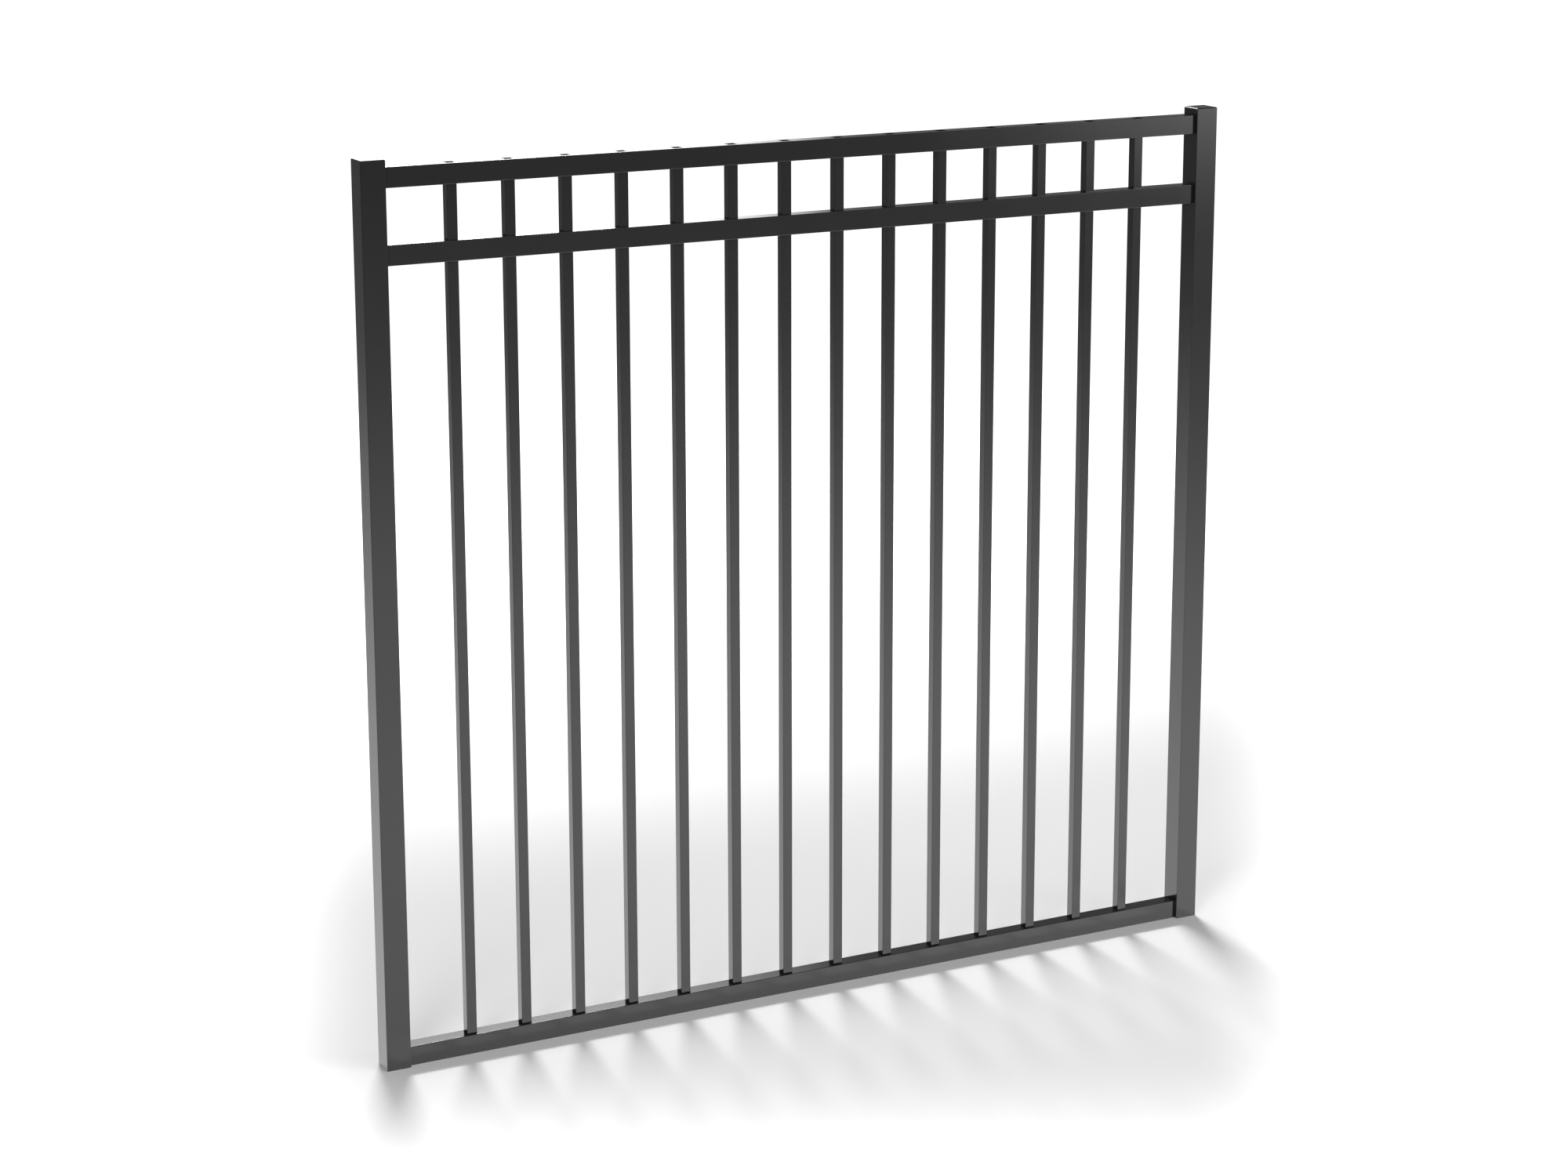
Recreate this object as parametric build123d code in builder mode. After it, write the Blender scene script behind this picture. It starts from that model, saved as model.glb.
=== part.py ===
"""Flat-top pool gate: two square uprights, three inverted-channel rails and a row of square pickets."""
import os

from build123d import *

os.makedirs("parts", exist_ok=True)

# The origin is at the foot of the left upright's outer face, midway between front and back.
# +X runs along the gate, +Y towards its back and +Z up. All sizes are in millimetres.

# The gate as a whole: its height is to the top of the caps
gate_width = 1450.3
gate_height = 1371.6

# Uprights: square tube, open at the foot, rising a little above the top rail
upright_size = 38.1
upright_wall = 3.2
upright_corner = 0.8
upright_rise = 7.6

# Upright caps: a flat plate with a bevelled rim, on a hollow plug that pushes into the tube
cap_thickness = 4.0
cap_bevel = 1.4
cap_plug_depth = 14.0
cap_plug_wall = 2.0
cap_clearance = 0.3

# Rails: channel with its open side down, punched in the top wall for the pickets
rail_height = 30.2
rail_side_wall = 2.1
rail_top_wall = 1.6
rail_corner = 0.8
upper_bay = 81.7

# Pickets: thin square tube, standing clear of the ground and loose in the rails' holes
picket_size = 15.9
picket_wall = 1.3
picket_corner = 0.8
picket_gap = 73.9
picket_lift = 3.0
picket_recess = 0.3
picket_rail_gap = 2.65
hole_clearance = 0.3

# Picket plugs: a closed face on a hollow body, pushed into the tube to just below its rim
plug_inset = 1.8
plug_face = 1.0
plug_depth = 8.0
plug_wall = 1.5
plug_clearance = 0.1

# Places that follow from the sizes above: heights from the top down, then the row of pickets
upright_length = gate_height - cap_thickness
top_rail_top = upright_length - upright_rise
top_rail_foot = top_rail_top - rail_height
mid_rail_foot = top_rail_foot - upper_bay - rail_height
picket_top = top_rail_top - picket_recess
gate_middle = gate_width / 2
rail_length = gate_width - 2 * upright_size
rail_depth = picket_size + 2 * (picket_rail_gap + rail_side_wall)

# As many pickets as leave at least one picket gap beside each upright
picket_pitch = picket_size + picket_gap
picket_count = int((rail_length - picket_gap) // picket_pitch)
first_picket_x = gate_middle - (picket_count - 1) * picket_pitch / 2


def save(builder, label):
    """Names a finished piece and writes it to its own file."""
    builder.part.label = label
    export_step(builder.part, f"parts/{label}.step")


def square_tube(label, x, foot, top, size, wall, corner):
    """A square tube standing on end, centred on x: rounded outside, sharp inside, as extruded."""
    with BuildPart() as tube:
        with BuildSketch(Plane((x, 0, foot))):
            RectangleRounded(size, size, corner)
            Rectangle(size - 2 * wall, size - 2 * wall, mode=Mode.SUBTRACT)
        extrude(amount=top - foot)
    save(tube, label)


def upright_cap(label, x):
    """A cap flush with the tube: its rim bevelled all round, its corners rounded like the tube's."""
    seat = Plane((x, 0, upright_length))
    plug_size = upright_size - 2 * (upright_wall + cap_clearance)
    bore_size = plug_size - 2 * cap_plug_wall
    with BuildPart() as cap:
        with BuildSketch(seat):
            Rectangle(upright_size, upright_size)
        extrude(amount=cap_thickness)
        chamfer(cap.edges().group_by(Axis.Z)[-1], cap_bevel)
        with BuildSketch(seat):
            RectangleRounded(upright_size, upright_size, upright_corner)
        extrude(amount=cap_thickness, mode=Mode.INTERSECT)
        with BuildSketch(seat):
            Rectangle(plug_size, plug_size)
            Rectangle(bore_size, bore_size, mode=Mode.SUBTRACT)
        extrude(amount=-cap_plug_depth)
    save(cap, label)


def punched_rail(label, foot):
    """A rail that butts against both uprights, with a square hole in its top wall for every picket."""
    hole_size = picket_size + 2 * hole_clearance
    channel_width = rail_depth - 2 * rail_side_wall
    channel_height = rail_height - rail_top_wall
    with BuildPart() as rail:
        with BuildSketch(Plane((upright_size, 0, foot), x_dir=(0, 1, 0), z_dir=(1, 0, 0))) as section:
            Rectangle(rail_depth, rail_height, align=(Align.CENTER, Align.MIN))
            fillet(section.vertices(), rail_corner)
            Rectangle(channel_width, channel_height, align=(Align.CENTER, Align.MIN), mode=Mode.SUBTRACT)
        extrude(amount=rail_length)
        with BuildSketch(Plane((gate_middle, 0, foot + rail_height))):
            with GridLocations(picket_pitch, 0, picket_count, 1):
                RectangleRounded(hole_size, hole_size, picket_corner + hole_clearance)
        extrude(amount=-rail_top_wall, mode=Mode.SUBTRACT)
    save(rail, label)


def picket_plug(label, x):
    """A plug that closes a picket's upper end from inside."""
    seat = Plane((x, 0, picket_top - plug_inset))
    body_size = picket_size - 2 * (picket_wall + plug_clearance)
    bore_size = body_size - 2 * plug_wall
    with BuildPart() as plug:
        with BuildSketch(seat):
            Rectangle(body_size, body_size)
        extrude(amount=-plug_depth)
        with BuildSketch(seat.offset(-plug_face)):
            Rectangle(bore_size, bore_size)
        extrude(amount=plug_face - plug_depth, mode=Mode.SUBTRACT)
    save(plug, label)


# Uprights and their caps
for side, upright_x in (("left", upright_size / 2), ("right", gate_width - upright_size / 2)):
    square_tube(f"{side}_upright", upright_x, 0, upright_length, upright_size, upright_wall, upright_corner)
    upright_cap(f"{side}_upright_cap", upright_x)

# Rails, from the ground up
punched_rail("bottom_rail", 0)
punched_rail("mid_rail", mid_rail_foot)
punched_rail("top_rail", top_rail_foot)

# Pickets run through all three rails, end just below the top rail's upper face and are plugged there
for number in range(picket_count):
    picket_x = first_picket_x + number * picket_pitch
    square_tube(
        f"picket_{number + 1:02d}", picket_x, picket_lift, picket_top, picket_size, picket_wall, picket_corner
    )
    picket_plug(f"picket_plug_{number + 1:02d}", picket_x)
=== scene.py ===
# %% [markdown]
# # A flat-top pool gate
# The gate is one rigid leaf: two square uprights, three channel rails and fourteen thin pickets, all
# aluminium under a black powder coat, with plastic caps and plugs in the tubes' upper ends. Its solids come
# from the CAD frame and already have the real corners and bores, so this script gives them their finishes,
# a floor, soft light and a camera. A stand-in box for each tube could take the same paint, but only the
# real solids have the rounded edges and the punched holes that catch the light.

import math

import bmesh
import bpy
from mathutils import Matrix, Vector

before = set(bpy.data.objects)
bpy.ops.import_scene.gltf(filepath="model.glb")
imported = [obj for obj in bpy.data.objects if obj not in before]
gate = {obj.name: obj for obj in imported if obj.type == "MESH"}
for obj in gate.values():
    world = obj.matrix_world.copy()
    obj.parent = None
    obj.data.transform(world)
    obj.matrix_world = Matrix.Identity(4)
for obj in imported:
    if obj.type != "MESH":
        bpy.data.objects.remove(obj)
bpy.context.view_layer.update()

# %% [markdown]
# ## Colours and nodes
# A colour picked on a screen is an sRGB value, while the shaders work in linear light. One function turns
# a hex code into the linear colour, and another adds a node with its settings and its links, so that each
# material below reads as a list of what it is made of.

# %% Helpers for materials
MM = 0.001


def linear(hex_code):
    """The linear RGBA colour of an sRGB hex code."""
    channels = [int(hex_code[i : i + 2], 16) / 255 for i in (1, 3, 5)]
    return tuple(c / 12.92 if c <= 0.04045 else ((c + 0.055) / 1.055) ** 2.4 for c in channels) + (1.0,)


def add_node(tree, kind, inputs=None, **settings):
    """Adds a node, gives it its settings, and sets or links each named input."""
    made = tree.nodes.new(kind)
    for name, value in settings.items():
        setattr(made, name, value)
    for name, value in (inputs or {}).items():
        if isinstance(value, bpy.types.NodeSocket):
            tree.links.new(value, made.inputs[name])
        else:
            made.inputs[name].default_value = value
    return made


def new_material(name):
    """An empty node material and its output node."""
    material = bpy.data.materials.new(name)
    material.use_nodes = True
    material.node_tree.nodes.clear()
    output = add_node(material.node_tree, "ShaderNodeOutputMaterial")
    return material, material.node_tree, output


print("black on screen #1c1c1d is", [round(c, 4) for c in linear("#1c1c1d")], "in linear light")

# %% [markdown]
# ## Black powder coat
# The tubes and channels are sprayed with dry polyester powder, which the oven melts into one skin. It flows
# almost level but keeps a faint orange peel, ripples a few millimetres across and some microns high, so
# reflections are soft and very slightly broken. A noise texture at the ripple's size, sent to Bump, gives
# that without any extra mesh, and a larger noise lets the gloss drift as the skin's thickness does.

# %% Powder coat material
PEEL_SIZE = 3.5 * MM
PEEL_HEIGHT = 0.04 * MM
PEEL_STRENGTH = 0.25
GRAIN_SIZE = 0.9 * MM
FLOW_SIZE = 120 * MM

# Most of a noise texture's values lie in this range, which is spread over the range of the gloss
FLOW_RANGE = (0.3, 0.7)
COAT_SMOOTH = 0.13
COAT_ROUGH = 0.16
COAT_IOR = 1.5


def powder_coat():
    """Polyester powder coat, sprayed and baked: deep black, satin, with a soft ripple in its shine."""
    material, tree, output = new_material("black_powder_coat_sprayed_and_baked")
    place = add_node(tree, "ShaderNodeTexCoord").outputs["Object"]
    peel = add_node(
        tree,
        "ShaderNodeTexNoise",
        {"Vector": place, "Scale": 1 / PEEL_SIZE, "Detail": 1.0, "Roughness": 0.4},
    )
    grain = add_node(
        tree,
        "ShaderNodeTexNoise",
        {"Vector": place, "Scale": 1 / GRAIN_SIZE, "Detail": 0.0},
    )
    flow = add_node(
        tree,
        "ShaderNodeTexNoise",
        {"Vector": place, "Scale": 1 / FLOW_SIZE, "Detail": 2.0},
    )
    gloss = add_node(
        tree,
        "ShaderNodeMapRange",
        {
            "Value": flow.outputs["Fac"],
            "From Min": FLOW_RANGE[0],
            "From Max": FLOW_RANGE[1],
            "To Min": COAT_SMOOTH,
            "To Max": COAT_ROUGH,
        },
    )
    tint = add_node(
        tree,
        "ShaderNodeMix",
        {"Factor": grain.outputs["Fac"], "A": linear("#1b1b1c"), "B": linear("#202021")},
        data_type="RGBA",
    )
    ripple = add_node(
        tree,
        "ShaderNodeBump",
        {"Height": peel.outputs["Fac"], "Strength": PEEL_STRENGTH, "Distance": PEEL_HEIGHT},
    )
    skin = add_node(
        tree,
        "ShaderNodeBsdfPrincipled",
        {
            "Base Color": tint.outputs["Result"],
            "Roughness": gloss.outputs["Result"],
            "IOR": COAT_IOR,
            "Normal": ripple.outputs["Normal"],
        },
    )
    tree.links.new(skin.outputs["BSDF"], output.inputs["Surface"])
    return material


coat = powder_coat()
print("made", coat.name, "with", len(coat.node_tree.nodes), "nodes")

# %% [markdown]
# ## Black moulded plastic
# The caps on the uprights are moulded in black polypropylene, which comes out semi-gloss, so their tops
# shine much like the coat. The plugs are a softer and duller polyethylene, and they sit just inside the
# pickets' ends, where they read as dark squares in the bright top of the rail. One function makes both,
# given the range of their roughness. A mould's etched face leaves a fine, even grain, and Voronoi cells at
# the grain's size make that pattern. The real grain is about 0.3 mm and would vanish in a picture of the
# whole gate, so it is drawn at 0.8 mm.

# %% Cap and plug plastic
MOULD_GRAIN = 0.8 * MM
MOULD_DEPTH = 0.03 * MM
MOULD_STRENGTH = 0.2
CELL_REACH = 0.6
PLASTIC_IOR = 1.49
CAP_ROUGHNESS = (0.16, 0.22)
PLUG_ROUGHNESS = (0.42, 0.5)


def moulded_plastic(name, smooth, rough):
    """Black plastic from an etched mould, its roughness between two values: a fine dry grain."""
    material, tree, output = new_material(name)
    place = add_node(tree, "ShaderNodeTexCoord").outputs["Object"]
    cells = add_node(
        tree,
        "ShaderNodeTexVoronoi",
        {"Vector": place, "Scale": 1 / MOULD_GRAIN},
        feature="SMOOTH_F1",
    )
    tint = add_node(
        tree,
        "ShaderNodeMix",
        {"Factor": cells.outputs["Distance"], "A": linear("#19191a"), "B": linear("#1f1f20")},
        data_type="RGBA",
    )
    gloss = add_node(
        tree,
        "ShaderNodeMapRange",
        {"Value": cells.outputs["Distance"], "From Max": CELL_REACH, "To Min": smooth, "To Max": rough},
    )
    grain = add_node(
        tree,
        "ShaderNodeBump",
        {"Height": cells.outputs["Distance"], "Strength": MOULD_STRENGTH, "Distance": MOULD_DEPTH},
    )
    body = add_node(
        tree,
        "ShaderNodeBsdfPrincipled",
        {
            "Base Color": tint.outputs["Result"],
            "Roughness": gloss.outputs["Result"],
            "IOR": PLASTIC_IOR,
            "Normal": grain.outputs["Normal"],
        },
    )
    tree.links.new(body.outputs["BSDF"], output.inputs["Surface"])
    return material


cap_plastic = moulded_plastic("black_polypropylene_moulded", *CAP_ROUGHNESS)
plug_plastic = moulded_plastic("black_polyethylene_moulded", *PLUG_ROUGHNESS)
print("made", cap_plastic.name, "and", plug_plastic.name)

# %% [markdown]
# ## Each piece gets its finish
# The record says which of its material slots a CAD node belongs to, but the names say it just as well:
# whatever is a cap or a plug is plastic, and all else is coated metal. The mesh stays as it is, and only
# the material in its slots changes.

# %% Dress the CAD nodes
for name, piece in gate.items():
    finish = coat
    if "cap" in name:
        finish = cap_plastic
    elif "plug" in name:
        finish = plug_plastic
    if not piece.material_slots:
        piece.data.materials.append(finish)
    for slot in piece.material_slots:
        slot.material = finish
print("caps:", sum("cap" in n for n in gate), "plugs:", sum("plug" in n for n in gate), "of", len(gate))

# %% [markdown]
# ## Floor
# The gate stands on a plain pale floor that keeps its soft shadow. Under the lamps the floor is an ordinary
# matt surface, a little short of white. Just behind the gate its colour is painted a shade greyer, a
# painted shade that stands in for the gate's shade on the floor there.
# Only a patch round the gate looks like that. Past its four soft edges, emission lifts the floor to white,
# and the Light Path node lets only the camera and whatever looks through glass see it. Lamps strong enough
# to do the same would wash out the gate. Gloss sees a round pool of brightness instead. It fades with
# distance to a dim rest, as light from a lamp overhead does, so the gate's faces grow darker upwards.

# %% Floor material and mesh
FLOOR_REACH = 60.0

# The floor's colour turns from its own grey to the greyer painted shade behind the gate between these two
# places along Y
FRONT_GREY = "#e5e5e5"
PAINTED_SHADE_GREY = "#dbdbdb"
SHADE_FROM = -0.04
SHADE_TO = 0.16

# The round pool that gloss sees: its middle, its lamp's height, its brightness and what is left far off
POOL_CENTRE = (1.82, -0.6, 0.0)
POOL_LAMP_HEIGHT = 3.9
POOL_GLEAM = 1.51
POOL_REST = 0.07

# Each edge of the patch: the way it faces, how far out its fade starts, and how wide the fade is
PATCH_EDGES = (
    ((-0.943, 0.333, 0.0), -0.03, 0.45),
    ((0.824, -0.567, 0.0), 1.19, 0.46),
    ((-0.46, -0.888, 0.0), -0.06, 0.86),
    ((0.0, 1.0, 0.0), 0.55, 1.8),
)


def studio_floor():
    """Matt pale paper round the gate with painted shade behind it, white past the patch's edges, with a
    bright pool for gloss.
    """
    material, tree, output = new_material("pale_matt_studio_floor")
    place = add_node(tree, "ShaderNodeTexCoord").outputs["Object"]
    reach = add_node(tree, "ShaderNodeVectorMath", {0: place, 1: POOL_CENTRE}, operation="DISTANCE")
    heights = add_node(
        tree, "ShaderNodeMath", {0: reach.outputs["Value"], 1: POOL_LAMP_HEIGHT}, operation="DIVIDE"
    )
    slant = add_node(
        tree,
        "ShaderNodeMath",
        {0: heights.outputs["Value"], 1: heights.outputs["Value"], 2: 1.0},
        operation="MULTIPLY_ADD",
    )
    # Under a small lamp, light falls off with the fourth power of the cosine of the slant
    pool = add_node(tree, "ShaderNodeMath", {0: slant.outputs["Value"], 1: -2.0}, operation="POWER")
    beyond = 0.0
    for outward, start, width in PATCH_EDGES:
        along = add_node(tree, "ShaderNodeVectorMath", {0: place, 1: outward}, operation="DOT_PRODUCT")
        fade = add_node(
            tree,
            "ShaderNodeMapRange",
            {"Value": along.outputs["Value"], "From Min": start, "From Max": start + width},
            interpolation_type="SMOOTHSTEP",
        )
        joined = add_node(
            tree, "ShaderNodeMath", {0: fade.outputs["Result"], 1: beyond}, operation="ADD", use_clamp=True
        )
        beyond = joined.outputs["Value"]
    ray = add_node(tree, "ShaderNodeLightPath")
    seen = add_node(
        tree,
        "ShaderNodeMath",
        {0: ray.outputs["Is Camera Ray"], 1: ray.outputs["Is Transmission Ray"]},
        operation="ADD",
    )
    to_eye = add_node(
        tree,
        "ShaderNodeMath",
        {0: seen.outputs["Value"], 1: beyond},
        operation="MULTIPLY",
    )
    gleam = add_node(
        tree,
        "ShaderNodeMath",
        {0: pool.outputs["Value"], 1: POOL_GLEAM, 2: POOL_REST},
        operation="MULTIPLY_ADD",
    )
    white = add_node(
        tree,
        "ShaderNodeMath",
        {0: ray.outputs["Is Glossy Ray"], 1: gleam.outputs["Value"], 2: to_eye.outputs["Value"]},
        operation="MULTIPLY_ADD",
    )
    # Painted shade: the floor's colour is made greyer just behind the gate to stand in for the gate's shade
    # there
    depth = add_node(tree, "ShaderNodeSeparateXYZ", {"Vector": place})
    shade = add_node(
        tree,
        "ShaderNodeMapRange",
        {"Value": depth.outputs["Y"], "From Min": SHADE_FROM, "From Max": SHADE_TO},
        interpolation_type="SMOOTHSTEP",
    )
    paper_and_painted_shade = add_node(
        tree,
        "ShaderNodeMix",
        {"Factor": shade.outputs["Result"], "A": linear(FRONT_GREY), "B": linear(PAINTED_SHADE_GREY)},
        data_type="RGBA",
    )
    matt = add_node(tree, "ShaderNodeBsdfDiffuse", {"Color": paper_and_painted_shade.outputs["Result"]})
    glow = add_node(tree, "ShaderNodeEmission", {"Strength": white.outputs["Value"]})
    both = add_node(tree, "ShaderNodeAddShader", {0: matt.outputs["BSDF"], 1: glow.outputs["Emission"]})
    tree.links.new(both.outputs["Shader"], output.inputs["Surface"])
    return material


floor_mesh = bpy.data.meshes.new("studio_floor")
plate = bmesh.new()
bmesh.ops.create_grid(plate, x_segments=1, y_segments=1, size=FLOOR_REACH)
plate.to_mesh(floor_mesh)
plate.free()
floor = bpy.data.objects.new("studio_floor", floor_mesh)
bpy.context.scene.collection.objects.link(floor)
floor_mesh.materials.append(studio_floor())
print("floor:", 2 * FLOOR_REACH, "m square")

# %% [markdown]
# ## Light
# Black gloss shows its surroundings more than its own colour, so the lamps are placed by what each face
# mirrors. A long softbox low behind the gate lies along the rails' upper faces. A second one farther back,
# high and to the right, throws the pickets' shadows forward, and a small one draws the bright line on the
# right cap's bevel. One overhead fills the floor in front, and the last two, also in front, lift the
# gate's right end and lay a shadow behind it.
#
# The cloth of a softbox is brightest at its middle and fades to its rim, so each lamp has nodes that fade
# it by the place on its own face. Its brightness is how bright that face looks, where 1 is white paper,
# because that is easier to judge than watts. A spread below 180 degrees works like a honeycomb grid over
# the cloth: the same power leaves in a narrower beam, and the face looks brighter from inside that beam.

# %% Softboxes and world
STUDIO_GREY = 0.15


def softbox(name, place, aim, width, height, brightness, firmness, spread):
    """A soft lamp that faces its aim point; a higher firmness gives it a narrower rim."""
    lamp = bpy.data.lights.new(name, "AREA")
    lamp.shape = "RECTANGLE"
    lamp.size = width
    lamp.size_y = height
    lamp.energy = brightness * math.pi * width * height
    lamp.spread = math.radians(spread)
    lamp.use_nodes = True
    tree = lamp.node_tree
    face = add_node(tree, "ShaderNodeNewGeometry")
    across = add_node(tree, "ShaderNodeSeparateXYZ", {"Vector": face.outputs["Parametric"]})
    fades = []
    for axis in ("X", "Y"):
        rest = add_node(tree, "ShaderNodeMath", {0: 1.0, 1: across.outputs[axis]}, operation="SUBTRACT")
        arch = add_node(
            tree,
            "ShaderNodeMath",
            {0: across.outputs[axis], 1: rest.outputs["Value"]},
            operation="MULTIPLY",
        )
        # The arch is a quarter high at its middle, so 4 brings it to 1
        fades.append(
            add_node(
                tree,
                "ShaderNodeMath",
                {0: arch.outputs["Value"], 1: 4 * firmness},
                operation="MULTIPLY",
                use_clamp=True,
            )
        )
    fade = add_node(
        tree,
        "ShaderNodeMath",
        {0: fades[0].outputs["Value"], 1: fades[1].outputs["Value"]},
        operation="MULTIPLY",
    )
    tree.links.new(fade.outputs["Value"], tree.nodes["Emission"].inputs["Strength"])
    box = bpy.data.objects.new(name, lamp)
    box.location = place
    box.rotation_euler = (Vector(aim) - Vector(place)).to_track_quat("-Z", "Y").to_euler()
    box.visible_camera = False
    bpy.context.scene.collection.objects.link(box)
    print(name, "gives", round(lamp.energy), "W")


LAMPS = (
    # name, place, aim, width, height, brightness, firmness, spread in degrees
    ("back_low_softbox", (1.29, 3.6, 2.05), (1.29, 0.0, 2.05), 2.8, 1.2, 3.7, 1.25, 180),
    ("back_high_softbox", (2.66, 7.1, 5.95), (0.9, -0.8, 0.0), 3.3, 1.3, 20.0, 1.5, 80),
    ("back_edge_softbox", (0.92, 3.6, 3.8), (1.43, 0.0, 1.37), 0.8, 0.6, 0.095, 1.5, 20),
    ("overhead_softbox", (1.5, -2.4, 4.5), (1.5, -2.0, 0.0), 4.0, 4.0, 1.7, 1.0, 180),
    ("front_right_softbox", (5.6, -4.6, 1.85), (1.4, 0.0, 1.3), 3.6, 3.0, 1.25, 1.0, 60),
    ("front_left_softbox", (-2.6, -3.4, 3.6), (0.7, 0.0, 0.5), 2.0, 2.0, 17.5, 1.0, 180),
)
for lamp_settings in LAMPS:
    softbox(*lamp_settings)

world = bpy.data.worlds.new("dim_studio")
bpy.context.scene.world = world
world.use_nodes = True
world.node_tree.nodes["Background"].inputs["Color"].default_value = (1.0, 1.0, 1.0, 1.0)
world.node_tree.nodes["Background"].inputs["Strength"].default_value = STUDIO_GREY

# %% [markdown]
# ## Camera
# A long lens, a little above standing height, off to the left of the gate and some five metres away, keeps
# the uprights nearly parallel. The tilt is small, and the frame is slid down with the lens shift, as on a
# view camera, to take in the foot of the gate.

# %% Camera
EYE = (-1.5677, -4.4168, 1.9763)
TURN = 0.47853
TILT = 0.22575
SENSOR_MM = 36.0
LENS_MM = 75.764
SHIFT = (-0.01646, -0.06998)
FAR_CLIP = 200.0

lens = bpy.data.cameras.new("camera")
lens.sensor_fit = "HORIZONTAL"
lens.sensor_width = SENSOR_MM
lens.lens = LENS_MM
lens.shift_x = SHIFT[0]
lens.shift_y = SHIFT[1]
lens.clip_end = FAR_CLIP
camera = bpy.data.objects.new("camera", lens)
camera.location = EYE
camera.rotation_euler = (math.pi / 2 - TILT, 0.0, -TURN)
bpy.context.scene.collection.objects.link(camera)
bpy.context.scene.camera = camera
bpy.context.scene.view_settings.view_transform = "Standard"
print("camera:", [round(v, 3) for v in camera.location], "lens", lens.lens, "mm")
